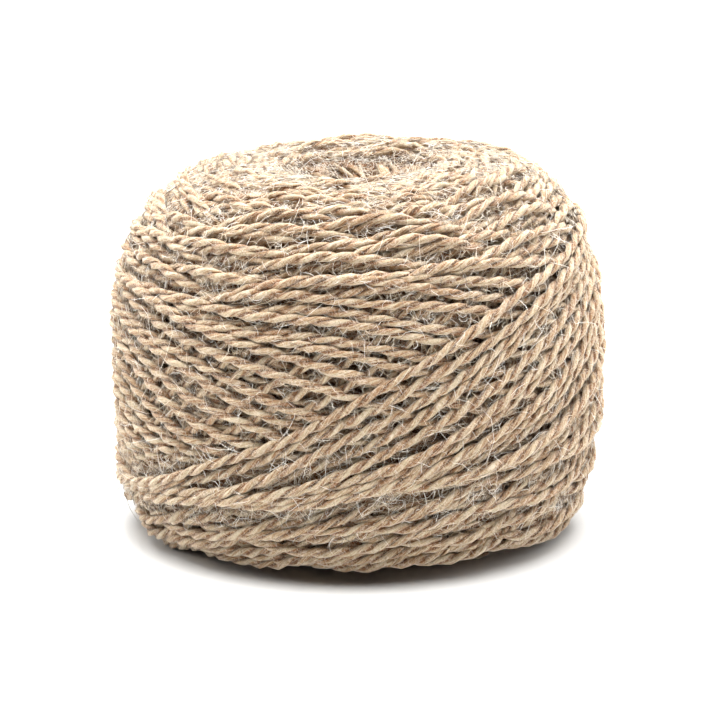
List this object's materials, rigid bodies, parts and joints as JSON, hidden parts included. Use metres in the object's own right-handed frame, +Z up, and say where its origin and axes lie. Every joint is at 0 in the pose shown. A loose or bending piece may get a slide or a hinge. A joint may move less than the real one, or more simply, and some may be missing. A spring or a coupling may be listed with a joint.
{
  "type": "ball of yarn",
  "caption": "Centre-pull ball of plied beige alpaca yarn, wound as a rounded drum with slanting turns, a flat foot and a hollow core.",
  "frame": {"origin": "middle of the flat foot, at the base of the ball", "axes": "+Z up along the hollow core, -Y the front that the picture shows, +X the viewer's right"},
  "size_m": [0.085, 0.085, 0.065],
  "materials": {
    "alpaca_yarn": "soft fuzzy heather yarn"
  },
  "bodies": {
    "root": {"yarn_ball": "alpaca_yarn"}
  },
  "joints": []
}
